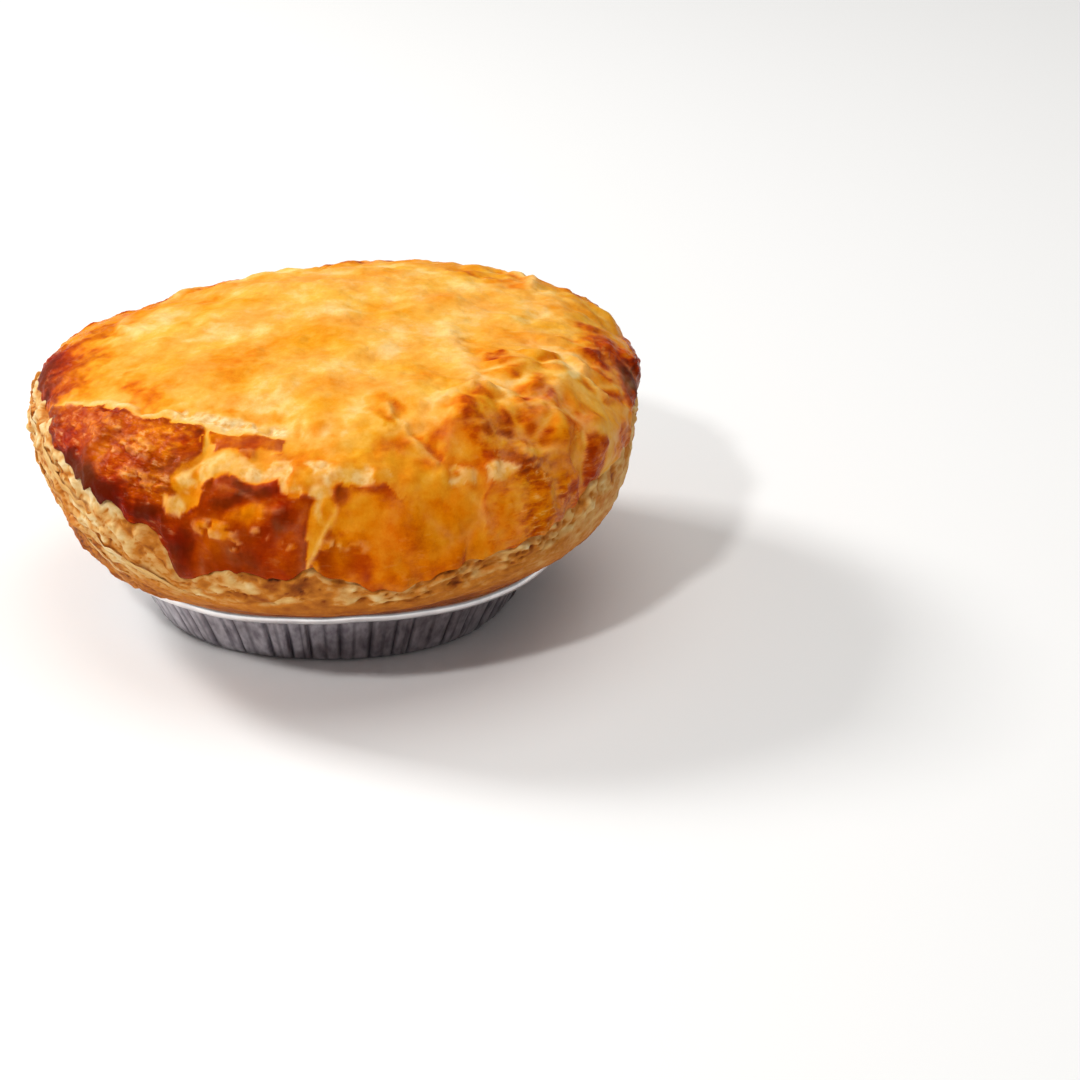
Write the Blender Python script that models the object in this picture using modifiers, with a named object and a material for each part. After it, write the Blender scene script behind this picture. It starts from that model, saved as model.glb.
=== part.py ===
"""Whole chicken pot pie in its own foil tin, in metres, +Z up, with the pie's front towards -Y.

Two solids. `pie` is one uncut puff-pastry pie: the body that fills the tin, the flaky lip that
overhangs the tin's rim, and the risen lid with its lean, creases and lumps. `foil_tin` is the
shallow pleated tin of pressed foil that the pie was baked in, with its flange and rolled rim.
The origin is the centre of the tin's flat base, on the surface that the tin stands on.
"""

import math

import bpy
from mathutils import Vector

# Tin of pressed foil
FOIL = 0.0003                 # wall of the solid, about three times the real foil
BASE_RADIUS = 0.0307
BASE_CORNER = 0.0018          # rounding between the flat base and the wall
MOUTH_RADIUS = 0.0359         # top of the pleated wall
TIN_DEPTH = 0.0117            # base to the flange's top face
FLANGE_RADIUS = 0.0373
BEAD_RADIUS = 0.0007          # rolled rim round the flange
PLEATS = 48
PLEAT_DEPTH = 0.0007
STEPS_PER_PLEAT = 3           # two columns hold a panel, and the third is the crease beside it
TIN_WAVES = ((2, 1.75, 0.011), (4, 3.5, 0.015))   # handling has left the tin a little out of round

# Pie
GAP = 0.0003                  # clearance between the pastry and the foil
LID_RADIUS = 0.0493
LID_RISE = 0.0333             # flange to the top of the lid
PIE_COLUMNS = 76
LEAN = 0.0020                 # the lid stands this much higher at its right edge, lower at its left
LID_WAVES = ((2, 4.9, 0.007), (3, 5.7, 0.009), (7, 0.8, 0.004), (13, 2.6, 0.003))
CAP_EDGE = 0.58               # share of the rise where the browned cap ends and the leaves begin
CAP_STEP = 0.0009             # how far the cap's edge stands proud of the leaves below it
CAP_JAGS = ((9, 1.0, 0.012), (17, 0.3, 0.010))
LEAF_FOOT = 0.13              # share of the rise where the lowest leaf ends
LEAF_SPLITS = (0.74, 0.46, 0.20)   # where the leaves part, as shares of their height
LEAF_GROOVE = 0.0009          # depth of those splits
LEAF_WAVES = ((5, 0.0, 0.05), (11, 1.3, 0.03))     # wander of the splits, in the same shares

# Lid and lip of an even pie, from the top centre to the rim: (share of radius, share of rise)
LID_TOP = (
    (0.00, 1.000), (0.26, 0.992), (0.50, 0.966), (0.68, 0.925), (0.82, 0.862), (0.92, 0.780),
    (0.98, 0.680),
)
LIP = (
    (0.98, 0.680), (1.00, 0.545), (0.998, 0.410), (0.975, 0.280), (0.915, 0.145), (0.800, 0.022),
)

# How far the lid's edge rises or hangs: (degrees round from the front, lift, spread in degrees)
EDGE_LIFTS = ((0, -0.0060, 58), (90, 0.0015, 40), (-105, 0.0014, 35))
CAP_LIFTS = ((-75, 0.05, 35),)
# Where the shoulder is full: (degrees round, share of the radius, spread in degrees)
SHOULDERS = ((118, 0.056, 42), (-112, 0.022, 42))

# Bulges and creases of the lid: (degrees round from the front, right positive; share of the
# radius; height, negative in a crease; spread)
LUMPS = (
    (62, 0.74, 0.0016, 0.0085),
    (38, 0.66, 0.0012, 0.0070),
    (88, 0.52, -0.0014, 0.0065),
    (48, 0.42, -0.0012, 0.0060),
    (-42, 0.84, 0.0012, 0.0100),
    (6, 0.86, 0.0010, 0.0080),
    (-14, 0.70, -0.0012, 0.0060),
    (112, 0.90, 0.0013, 0.0080),
    (136, 0.86, 0.0010, 0.0080),
    (160, 0.84, 0.0012, 0.0090),
    (-128, 0.80, -0.0011, 0.0090),
    (-160, 0.50, 0.0010, 0.0100),
)


def clear_scene():
    for obj in list(bpy.data.objects):
        bpy.data.objects.remove(obj)


def new_collection(name):
    collection = bpy.data.collections.new(name)
    bpy.context.scene.collection.children.link(collection)
    return collection


def new_material(name, colour, roughness, metallic=0.0):
    material = bpy.data.materials.new(name)
    material.use_nodes = True
    shader = material.node_tree.nodes["Principled BSDF"]
    shader.inputs["Base Color"].default_value = (*colour, 1.0)
    shader.inputs["Roughness"].default_value = roughness
    shader.inputs["Metallic"].default_value = metallic
    return material


def smooth_through(points, pieces):
    """Catmull-Rom curve through the points, with this many pieces between neighbours."""
    ends = [points[0], *points, points[-1]]
    curve = []
    for quad in zip(ends, ends[1:], ends[2:], ends[3:]):
        for step in range(pieces):
            t = step / pieces
            curve.append(tuple(catmull_rom(t, *values) for values in zip(*quad)))
    return [*curve, points[-1]]


def catmull_rom(t, before, start, end, after):
    linear = end - before
    square = 2 * before - 5 * start + 4 * end - after
    cube = 3 * start - before - 3 * end + after
    return start + 0.5 * (linear * t + square * t**2 + cube * t**3)


def turned(name, profile, columns, material, collection):
    """A solid turned about Z from a profile of (radius, height), top centre to bottom centre."""
    mesh = bpy.data.meshes.new(name)
    points = [(radius, 0.0, height) for radius, height in profile]
    mesh.from_pydata(points, [(i, i + 1) for i in range(len(points) - 1)], [])
    solid = bpy.data.objects.new(name, mesh)
    collection.objects.link(solid)
    screw = solid.modifiers.new("Turn", "SCREW")
    screw.axis = "Z"
    screw.steps = columns
    screw.render_steps = columns
    screw.use_merge_vertices = True
    screw.merge_threshold = 0.00001
    evaluated = solid.evaluated_get(bpy.context.evaluated_depsgraph_get())
    solid.data = bpy.data.meshes.new_from_object(evaluated)
    solid.modifiers.clear()
    solid.data.materials.append(material)
    return solid


def reshape(solid, move):
    """Sends every vertex through move, which takes a point and gives where it goes."""
    for vertex in solid.data.vertices:
        vertex.co = move(vertex.co.copy())
    solid.data.update()


def azimuth(point):
    """Angle round the pie from its front, positive towards its right (+X)."""
    return math.atan2(point.x, -point.y)


def scaled_round(point, share):
    return Vector((point.x * share, point.y * share, point.z))


def wave_sum(angle, waves):
    """Sum of the waves round the pie, each a (count, phase, size as a share of the radius)."""
    return sum(size * math.cos(count * angle + phase) for count, phase, size in waves)


# ---- foil tin

def tin_profile():
    """Inside of the tin from its centre up, over the rolled rim, and down the outside."""
    top = TIN_DEPTH
    foot = BASE_RADIUS + 0.1 * (MOUTH_RADIUS - BASE_RADIUS)
    turn = BASE_RADIUS - 0.3 * BASE_CORNER
    flat = BASE_RADIUS - BASE_CORNER
    inside = [
        (0.0, FOIL),
        (flat, FOIL),
        (turn - 0.7 * FOIL, 0.3 * BASE_CORNER + 0.7 * FOIL),
        (foot - FOIL, BASE_CORNER + 0.4 * FOIL),
        (MOUTH_RADIUS - FOIL, top),
    ]
    rim = [
        (FLANGE_RADIUS, top),
        (FLANGE_RADIUS + BEAD_RADIUS, top + 0.5 * BEAD_RADIUS),
        (FLANGE_RADIUS + 2 * BEAD_RADIUS, top - 0.5 * BEAD_RADIUS),
        (FLANGE_RADIUS + BEAD_RADIUS, top - 1.5 * BEAD_RADIUS),
        (FLANGE_RADIUS, top - FOIL),
    ]
    outside = [
        (MOUTH_RADIUS, top - FOIL),
        (foot, BASE_CORNER),
        (turn, 0.3 * BASE_CORNER),
        (flat, 0.0),
        (0.0, 0.0),
    ]
    return inside + rim + outside


def crease_depth(point):
    """How far the wall is drawn in: nothing on a panel, most of all low in the crease beside it."""
    share = azimuth(point) * PLEATS / math.tau % 1.0
    in_crease = max(0.0, 1.0 - abs(share - 2 / 3) * STEPS_PER_PLEAT)
    up_wall = min(1.0, point.z / BASE_CORNER)
    to_mouth = max(0.0, point.z / TIN_DEPTH - 0.5)
    return PLEAT_DEPTH * in_crease * up_wall * (1.0 - to_mouth)


def out_of_round(point):
    return scaled_round(point, 1.0 + wave_sum(azimuth(point), TIN_WAVES))


def press_pleats(point):
    radius = math.hypot(point.x, point.y)
    on_wall = BASE_RADIUS - 0.5 * BASE_CORNER < radius < 0.5 * (MOUTH_RADIUS + FLANGE_RADIUS)
    if on_wall:
        point = scaled_round(point, 1.0 - crease_depth(point) / radius)
    return out_of_round(point)


def make_tin(collection):
    foil = new_material("pressed_foil", (0.42, 0.41, 0.43), 0.3, 1.0)
    tin = turned("foil_tin", tin_profile(), PLEATS * STEPS_PER_PLEAT, foil, collection)
    reshape(tin, press_pleats)


# ---- pie

def pie_profile():
    """Lid and lip from the top centre, then the body down inside the tin to its bottom centre."""
    lid = smooth_through(LID_TOP, 2) + smooth_through(LIP, 4)[1:]
    shell = [(radius * LID_RADIUS, TIN_DEPTH + rise * LID_RISE) for radius, rise in lid]
    inset = FOIL + PLEAT_DEPTH + GAP
    body = [
        (FLANGE_RADIUS - 2 * BEAD_RADIUS, TIN_DEPTH + GAP),
        (MOUTH_RADIUS - FOIL, TIN_DEPTH + GAP),
        (MOUTH_RADIUS - inset, TIN_DEPTH - GAP),
        (BASE_RADIUS - inset + GAP, BASE_CORNER + GAP),
        (BASE_RADIUS - BASE_CORNER - GAP, FOIL + GAP),
        (0.0, FOIL + GAP),
    ]
    return shell + body


def bump(share, middle, width):
    return math.exp(-(((share - middle) / width) ** 2))


def round_sum(angle, entries):
    """Sum of the entries' sizes, each fading with the angle between it and its own place."""
    total = 0.0
    for degrees, size, spread in entries:
        apart = (math.degrees(angle) - degrees + 180.0) % 360.0 - 180.0
        total += size * bump(apart, 0.0, spread)
    return total


def set_in(angle, rise):
    """How far the surface lies inside the plain lip: the step under the cap, and the splits."""
    edge = CAP_EDGE + round_sum(angle, CAP_LIFTS) + wave_sum(angle, CAP_JAGS)
    share = (rise - LEAF_FOOT) / (edge - LEAF_FOOT)
    if not 0.0 < share < 1.0:
        return 0.0
    wander = wave_sum(angle, LEAF_WAVES)
    groove = max(bump(share + wander, split, 0.08) for split in LEAF_SPLITS)
    return CAP_STEP * min(1.0, share / 0.3) + LEAF_GROOVE * groove


def lump(point):
    """Height of the bulges and creases above the even lid, each a bell round its own middle."""
    total = 0.0
    for degrees, share, height, spread in LUMPS:
        angle = math.radians(degrees)
        across = point.x - share * LID_RADIUS * math.sin(angle)
        along = point.y + share * LID_RADIUS * math.cos(angle)
        total += height * math.exp(-(across**2 + along**2) / (2 * spread**2))
    return total


def bake(point):
    """Makes the even lid and lip uneven: waves, full shoulders, leaves, sag, lean, and lumps."""
    rise = (point.z - TIN_DEPTH) / LID_RISE
    if rise <= 0.015:
        return out_of_round(point)
    angle = azimuth(point)
    out = math.hypot(point.x, point.y) / LID_RADIUS
    on_lip = min(1.0, rise / 0.25)
    stretch = 1.0 + on_lip * wave_sum(angle, LID_WAVES)
    stretch += round_sum(angle, SHOULDERS) * bump(rise, 0.80, 0.2)
    moved = scaled_round(point, stretch)
    if out > 0.5:
        moved = scaled_round(moved, 1.0 - set_in(angle, rise) / (out * LID_RADIUS))
    moved.z += round_sum(angle, EDGE_LIFTS) * bump(rise, 0.50, 0.32) * min(1.0, out) ** 4
    moved.z += LEAN * math.sin(angle) * min(out, 0.8) * min(1.0, rise)
    heart = Vector((0.0, 0.0, TIN_DEPTH))
    outward = (moved - heart).normalized()
    return moved + outward * lump(point) * min(1.0, rise / 0.5)


def make_pie(collection):
    crust = new_material("baked_puff_pastry", (0.80, 0.46, 0.15), 0.5)
    pie = turned("pie", pie_profile(), PIE_COLUMNS, crust, collection)
    reshape(pie, bake)
    pie.data.shade_smooth()


clear_scene()
pot_pie = new_collection("chicken_pot_pie")
make_tin(pot_pie)
make_pie(pot_pie)
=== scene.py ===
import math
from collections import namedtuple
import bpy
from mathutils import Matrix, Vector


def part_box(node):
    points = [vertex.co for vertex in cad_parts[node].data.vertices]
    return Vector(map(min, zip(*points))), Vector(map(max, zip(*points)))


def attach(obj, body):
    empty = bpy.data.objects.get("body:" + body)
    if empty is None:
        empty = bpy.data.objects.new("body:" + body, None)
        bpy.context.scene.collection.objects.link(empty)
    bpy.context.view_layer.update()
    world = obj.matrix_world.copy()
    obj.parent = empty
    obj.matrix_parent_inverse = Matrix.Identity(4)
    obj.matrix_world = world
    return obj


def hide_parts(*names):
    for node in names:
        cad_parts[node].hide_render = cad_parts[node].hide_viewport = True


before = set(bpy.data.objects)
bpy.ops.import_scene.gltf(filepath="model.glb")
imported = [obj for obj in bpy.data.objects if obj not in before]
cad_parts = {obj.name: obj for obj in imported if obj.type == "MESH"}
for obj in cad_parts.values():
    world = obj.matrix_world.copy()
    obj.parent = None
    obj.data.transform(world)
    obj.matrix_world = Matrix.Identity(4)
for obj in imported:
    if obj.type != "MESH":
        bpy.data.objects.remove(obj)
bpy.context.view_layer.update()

# Chicken pot pie in its foil tin. The browned cap, the flaky side, the loose leaves of pastry and
# the pleated tin are surfaces worked out with numpy over the same uneven form as the solid pie.
# Places on the pastry are given on a map: degrees round from the front, with the right positive,
# and the length of surface from the middle of the lid, in millimetres.

from types import SimpleNamespace

import bpy
import numpy as np
from mathutils import Vector

MM = 0.001

# ---- the pie's form, the same as the solid's; lengths are in mm until a mesh is made

tin_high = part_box("foil_tin")[1]
BEAD_RADIUS = 0.7
RIM_Z = tin_high.z / MM - 0.5 * BEAD_RADIUS     # top face of the tin's flange
LID_RADIUS = 49.3
LID_RISE = 33.3
LEAN = 2.0
# How far the lid is out of round: (waves round the lid, phase, share of the radius)
LID_WAVES = ((2, 4.9, 0.007), (3, 5.7, 0.009), (7, 0.8, 0.004), (13, 2.6, 0.003))
# Where the lid's edge is lifted: (degrees, mm, spread in degrees); and, in shares of the radius
# instead of mm, where its shoulders are full
EDGE_LIFTS = ((0, -6.0, 58), (90, 1.5, 40), (-105, 1.4, 35))
SHOULDERS = ((118, 0.056, 42), (-112, 0.022, 42))
# Half of the even lid's section, in shares of its radius and rise: over the top, then the lip
LID_TOP = (
    (0.00, 1.000), (0.26, 0.992), (0.50, 0.966), (0.68, 0.925), (0.82, 0.862), (0.92, 0.780),
    (0.98, 0.680),
)
LIP = (
    (0.98, 0.680), (1.00, 0.545), (0.998, 0.410), (0.975, 0.280), (0.915, 0.145), (0.800, 0.022),
)
# Lumps of the lid: (degrees, share of the radius, height in mm, spread in mm)
LUMPS = (
    (62, 0.74, 1.6, 8.5), (38, 0.66, 1.2, 7), (88, 0.52, -1.4, 6.5), (48, 0.42, -1.2, 6),
    (-42, 0.84, 1.2, 10), (6, 0.86, 1, 8), (-14, 0.7, -1.2, 6), (112, 0.9, 1.3, 8),
    (136, 0.86, 1, 8), (160, 0.84, 1.2, 9), (-128, 0.8, -1.1, 9), (-160, 0.5, 1, 10),
)
# How far the tin is out of round, as the lid's waves are listed
TIN_WAVES = ((2, 1.75, 0.011), (4, 3.5, 0.015))
FOIL = 0.3                            # the foil's thickness
GAP = 0.3                             # between pastry and foil
BASE_RADIUS = 30.7
BASE_CORNER = 1.8
MOUTH_RADIUS = 35.9                   # at the top of the wall, inside the flange
FLANGE_RADIUS = 37.3
PLEATS = 48
PLEAT_DEPTH = 0.7

# ---- what the crust and the side show, in degrees and millimetres on the map

# Where the browned cap ends: (degrees, mm from the middle of the lid)
CAP_EDGE = (
    (-180, 53.6), (-150, 54.6), (-120, 51.6), (-95, 48.6), (-80, 48.4), (-72, 47.3), (-65, 49.1),
    (-52, 50.5), (-47, 51.2), (-45, 52.2), (-39, 51.5), (-36, 52.6), (-31, 52.2), (-28.5, 54.6),
    (-26, 57.8), (-23, 57.8), (-20, 55.4), (-13.5, 54.7), (-5.5, 55.6), (-2.5, 54), (-0.5, 53.3),
    (2, 54.7), (5.5, 55.6), (9.5, 57), (14, 57.6), (26, 56), (45, 56.6), (60, 55), (75, 56.2),
    (82, 52.8), (110, 53.8), (140, 52.6), (160, 54.4), (180, 53.6),
)
# Glossy browned skins with sharp edges: browning, and an outline of (degrees, mm), which may
# run past the cap's edge
SKINS = (
    (0.64, ((-75, 46), (-69, 43.4), (-62, 39.6), (-53, 38.6), (-46, 38.6), (-39, 36.8),
        (-29.5, 36.5), (-26, 40.7), (-27.5, 43), (-30, 44.4), (-30, 46.4), (-27.5, 47.8),
        (-27.5, 50), (-29, 55), (-45, 57), (-60, 55), (-78, 53))),
    (0.5, ((-27, 36.8), (-16, 35.8), (-9, 36.5), (-8, 38.9), (-13, 38.9), (-14.5, 40.7), (-20, 40),
        (-24, 40.5))),
    (0.67, ((-23, 48), (-22.5, 45.2), (-18.5, 44.2), (-12.5, 44.5), (-8, 43.8), (-7, 45.9),
        (0.5, 46.6), (-0.5, 48.7), (-1, 51.5), (-2, 57), (-8, 60), (-20, 62), (-28, 62), (-30, 54),
        (-30, 50.6), (-26, 49.4))),
    (0.41, ((4, 45.6), (6.5, 45.2), (12.5, 45.2), (15.5, 47.3), (24, 49), (27, 54), (25, 61),
        (8, 62), (-2, 58), (-0.6, 53.2), (0.8, 51), (3.4, 48.4))),
    (0.44, ((35, 46.8), (44, 47), (52, 49), (54, 54), (52, 61), (38, 61), (31, 58), (31, 50))),
    (0.58, ((84, 49), (90, 47.5), (98, 48.6), (105, 47.6), (108, 50), (106, 60), (84, 60))),
    (0.54, ((116, 48.5), (123, 46), (133, 47.5), (141, 46.2), (143, 51), (141, 60), (116, 60),
        (114, 52))),
    (0.62, ((148, 46), (156, 47.5), (160, 45.5), (168, 47.5), (176, 46.5), (178, 51), (176, 61),
        (150, 61), (147, 53))),
    (0.5, ((-176, 48.5), (-168, 46.5), (-160, 48.5), (-155, 46), (-149, 48), (-150, 54), (-152, 61),
        (-174, 61), (-177, 53))),
    (0.48, ((-143, 46), (-133, 47.5), (-126, 45), (-117, 46), (-112, 48), (-113, 58), (-140, 60),
        (-145, 51))),
)
# Pale torn pastry between the skins: paleness, and an outline of (degrees, mm)
TORN = (
    (0.95, ((-41, 35.1), (-38, 33.3), (-26, 32.7), (-10, 33), (-9, 36.3), (-18, 35.6), (-29, 36),
        (-39, 36.4))),
    (0.34, ((-25, 41), (-20, 40.7), (-14, 41.2), (-8, 39.3), (-4, 40.7), (4.5, 41), (13.5, 43),
        (15, 44.9), (4, 45), (3.5, 48), (1, 50.5), (0.5, 46.6), (-3, 45.9), (-7, 45.5), (-8, 43.6),
        (-12.5, 44.2), (-18.5, 44), (-22.5, 45), (-26, 46.8), (-29.5, 46), (-29, 44.2),
        (-26, 42.4))),
    (0.5, ((24, 45), (28, 44.7), (32, 46), (31, 47.6), (25.5, 47.4))),
    (0.5, ((33.5, 46.2), (37.5, 45.9), (40.5, 47.4), (37, 48.6), (33, 47.9))),
    (0.25, ((-30, 48.5), (-27, 48), (-25, 49), (-26, 50.4), (-29, 50.8))),
    (0.3, ((0.2, 46), (4, 46.6), (3.2, 48.4), (0.8, 50), (-0.4, 48.6))),
    (0.6, ((108, 48), (113, 47), (114, 52), (113, 57), (108, 57))),
    (0.7, ((143, 47), (147, 46), (147, 51), (149, 57), (143, 57))),
    (0.6, ((179, 45), (182, 46.5), (182, 51), (183, 57), (178, 57))),
    (0.75, ((-150, 47), (-145, 46), (-146, 50), (-142, 57), (-150, 57))),
)
# Browned patches with soft edges, paler where negative: (degrees, mm, half length round,
# half width outwards, turn, browning added)
PATCHES = (
    (-91, 48, 16, 6, 0, 0.27), (-91, 43.5, 15, 8.5, 0, 0.2), (-79, 47.5, 4.5, 3.4, 0, 0.16),
    (-65, 43.5, 9, 3, 0, -0.12), (-51, 50.8, 20, 2.6, 3, 0.38), (-33, 51, 4, 2.2, 0, 0.16),
    (-38, 40.5, 8, 3.6, 0, -0.12), (-16, 45.4, 3.4, 1.2, 0, 0.18), (-13, 46.6, 7, 1.2, -14, 0.26),
    (-6.5, 48.6, 2.2, 1.6, -20, 0.2), (-12, 48.4, 3.4, 2.2, -10, -0.24),
    (-25, 54.6, 3.2, 4, 0, 0.22), (-14, 54, 10, 2.2, 0, 0.06), (5, 46.3, 1.8, 1.8, 0, 0.26),
    (9, 45.6, 4, 0.8, 0, 0.14), (10, 49.5, 5.5, 2.6, 0, -0.05), (4.5, 53.2, 6, 3.2, 0, 0.19),
    (65, 32.8, 4.6, 6.2, 0, 0.2), (67, 28.1, 2.8, 1.9, 0, 0.22), (87, 43.8, 8.5, 5.5, 0, 0.32),
    (82.5, 49, 4.8, 3.4, 0, 0.26), (58.5, 38.2, 4.2, 3.4, 0, 0.24), (40, 34.7, 5.6, 3, 0, 0.22),
    (35.5, 39.3, 7.6, 3.8, 0, 0.18), (61, 48.4, 5.6, 4, 0, 0.15), (45, 48.2, 6.4, 3, 0, 0.08),
    (57, 53, 9, 4, 0, 0.13), (-62, 24, 20, 12, 0, 0.07), (36, 44.9, 4.6, 1.6, 0, 0.1),
    (86, 50.5, 9, 4.5, 0, 0.22), (73, 53.5, 7, 2.6, 0, 0.26), (24.5, 42.8, 4, 3.2, 0, 0.18),
    (18.5, 30.2, 2.6, 5, 0, 0.22), (40, 25.3, 4.5, 3.8, 0, 0.1), (17.5, 38.6, 5.6, 1.8, 0, 0.15),
    (125, 42.8, 10, 4.5, 0, 0.16), (102, 39.3, 3.4, 3, 0, 0.18), (150, 36, 20, 3.5, 0, 0.12),
    (5, 33.5, 8, 2.2, 0, 0.12), (6, 38.5, 20, 4.5, 0, 0.1), (50, 45, 22, 6, 0, 0.05),
    (-22, 31.5, 10, 1.8, -5, 0.16), (-52, 34, 9, 2.6, 0, 0.14), (-66, 34, 4, 3, 0, 0.12),
    (-106, 40, 5, 3, 0, 0.14), (-126, 40.5, 6, 2, 0, 0.14), (-150, 40.5, 14, 2.6, 0, 0.12),
    (170, 42, 16, 3, 0, 0.14), (71.5, 39.5, 3, 2.6, 0, -0.24), (53, 43.7, 3.6, 2.8, 0, -0.3),
    (22.5, 38.2, 2.2, 2, 0, -0.22), (49.5, 46.3, 3, 1.6, 0, -0.2), (49, 12.7, 4, 2.2, 0, -0.08),
)
# Bulges of the lid, negative in a valley: (degrees, mm, height in mm, spread in mm)
BULGES = (
    (68, 40.5, 1, 2.8), (53, 43.8, 1.6, 3.2), (62, 48.5, 1.5, 3.6), (35, 38.6, 1.7, 3.6),
    (40, 34.2, 1.3, 3), (66, 33, 1.3, 4), (58.5, 38, 1.1, 2.6), (89, 42.5, 1, 4.5),
    (43, 46.6, 0.7, 2.2), (22, 36.4, -0.6, 1.6), (78, 41, -0.5, 1.4), (46, 40.4, -0.5, 1.4),
    (10, 32.5, 0.5, 3), (24, 45.8, 0.8, 1.6), (29, 46.4, 0.6, 1.4), (35, 47.2, 0.8, 1.7),
    (40, 47.8, 0.5, 1.5), (-21, 42.8, 0.6, 1.8), (-14, 42.4, 0.5, 1.8), (-3, 43, 0.7, 2.2),
    (5, 43, 0.6, 2), (11, 44, 0.5, 1.6), (-28, 46, 0.5, 1.8), (-52, 43.5, 0.5, 5), (-35, 41, 0.4, 3),
    (8, 24, -0.5, 3), (-60, 24, 0.4, 5), (-20, 20, 0.4, 5), (40, 14, -0.4, 4), (170, 30, 0.6, 5),
    (-153, 41.5, -0.7, 5), (107, 46.5, -0.9, 5), (-135, 30, -0.5, 3.5), (128, 40, 0.9, 3.6),
    (145, 36, -0.5, 3), (-120, 22, 0.5, 5), (100, 30, 0.5, 3.6),
)
# Where the lid is folded into lumps: (degrees, strength, spread in degrees)
FOLDED = ((60, 1.25, 34), (120, 0.5, 40), (-165, 0.6, 40), (-12, 0.35, 22))
# Raised wrinkles: points of (degrees, mm) along each, then height and half width in mm, and how
# pale the crest is, partly as a painted highlight
WRINKLES = (
    (((-76, 47), (-68, 42.2), (-62, 38.8), (-53, 37.8), (-46, 38), (-41, 35.6), (-30, 35.8),
        (-20, 35.2), (-9, 35.9)), 0.55, 0.65, 0.5),
    (((103.5, 18), (86, 19.7), (66.5, 23.6), (51.5, 28.5), (43.5, 30.2)), 0.45, 1.4, 0.18),
    (((85, 34.7), (78.5, 39.6), (73, 42.4), (71.5, 46.3), (75.5, 50.1), (77, 53.6),
        (73.5, 55)), 0.65, 0.85, 0.2),
    (((27, 31.6), (33.5, 31.6), (43, 30.9), (50, 33), (49.5, 36.8), (45, 38.6)), 0.55, 1.15, 0.2),
    (((45, 38.6), (51, 39.6), (52, 41.7), (47.5, 43.5)), 0.5, 1.05, 0.2),
    (((75, 37.5), (63, 39.6), (57, 41.4), (53, 41)), 0.45, 1.1, 0.18),
    (((22.5, 34.4), (20.5, 36.5), (22, 39.3), (23.5, 42.8), (24, 43.8)), 0.5, 0.75, 0.2),
    (((34, 41.6), (37.5, 43.1), (40, 43.5), (43.5, 46.3), (48, 48), (52, 48.7)), 0.5, 0.95, 0.2),
    (((18, 28.6), (20, 31), (19, 33.6)), 0.45, 0.75, 0.2),
    (((62, 36.5), (67, 37.4), (71, 36.6), (76, 38.4)), 0.4, 1, 0.16),
    (((-21, 45.6), (-15, 46.2), (-9, 47.6), (-5, 47.6)), 0.4, 0.35, 0.1),
    (((4, 47.6), (2.4, 49.8), (0.8, 51.6), (-0.6, 53.4), (-2.4, 55.4)), 0.35, 0.42, 0.3),
    (((-128, 38), (-142, 42), (-158, 41)), 0.3, 0.9, 0.3),
    (((122, 36), (134, 41), (143, 43)), 0.6, 0.8, 0.4),
    (((170, 38), (176, 42), (182, 41)), 0.45, 0.8, 0.3),
    (((-100, 30), (-108, 36), (-118, 39)), 0.45, 0.8, 0.3),
)
# Small bumps in the glaze, paled as painted highlights: (degrees, mm, half length, half width,
# strength)
BUMPS = (
    (-19, 50.8, 4.6, 1.1, 1), (-10, 50.4, 1.8, 1, 0.8), (-15, 52, 2.2, 0.8, 0.8),
    (-4.6, 51.2, 1.4, 0.8, 0.8), (2.4, 51.6, 2.2, 0.9, 0.9), (7, 51.9, 2.4, 0.8, 0.5),
    (-36, 47.2, 5, 1.4, 0.6), (-41, 43.6, 5, 2.2, 0.6), (-55, 42.2, 6, 2.6, 0.45),
    (-0.6, 53.6, 1.2, 1.3, 0.8), (-17, 39.8, 3, 1.2, 0.4),
)

# The cap's edge turns under by these steps: (mm added to the reach, mm below the top)
SKIN_STEPS = ((0.20, 0.10), (0.28, 0.30), (0.12, 0.52), (-0.6, 0.70), (-3.0, 1.0))
SKIN_RINGS = (0.80, 0.50, 0.20)       # rings under the cap, as shares of its reach
SKIN_DEPTH = 2.2                      # mm, how far those rings lie under the top
SCALLOPS = 68                         # scallops round the cap's edge
SKIN_THICKNESS = 0.30                 # mm that a glossy skin stands above its surroundings
RIPPLE_WIDTH = 1.5                    # mm from crest to crest of the ripples in a skin
CAP_GRID = 296                        # points along each side of the cap's square grid
CAP_REACH = 53.0                      # mm, the even cap's reach before its edge is made ragged
DRUM_RADIUS = 48.0                    # mm, about where the details near the rim lie

SIDE_COLUMNS = 960                    # points round the side
SIDE_ROWS = 84                        # rings of points down it
SIDE_TUCK = 3.0                       # mm of the side hidden under the cap
SIDE_DEPTH = 3.0                      # mm that its hidden top lies under the cap's face
SIDE_TOP_RINGS = (0.3, 0.6, 0.85)     # rings of that top, as shares of its reach
LIP_FOOT = 71.5                       # mm on the map, where the lip turns under
LEAF_STEP = 0.9                       # mm that the leaves lie inside the cap's face
LEAVES = 7                            # leaves of pastry between the cap and the tin
# (degrees, amount, spread in degrees) where the side browned, and where it is a smooth roll
SIDE_BROWNING = ((0, 0.36, 28), (45, 0.20, 30), (150, 0.14, 40), (-70, 0.05, 34))
SIDE_SMOOTH = ((2, 1.0, 32), (60, 0.6, 30), (170, 0.6, 40))
LEAF_LENGTHS = (7.0, 26.0)            # shortest and longest loose leaf, in mm
LOOSE_LEAVES = 46                     # drawn round the pie, and left out on smooth rolls
LEAF_GRID = (44, 5)                   # points along and across a loose leaf
LEAF_THICKNESS = 0.12                 # mm, half a loose leaf's thickness

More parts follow.
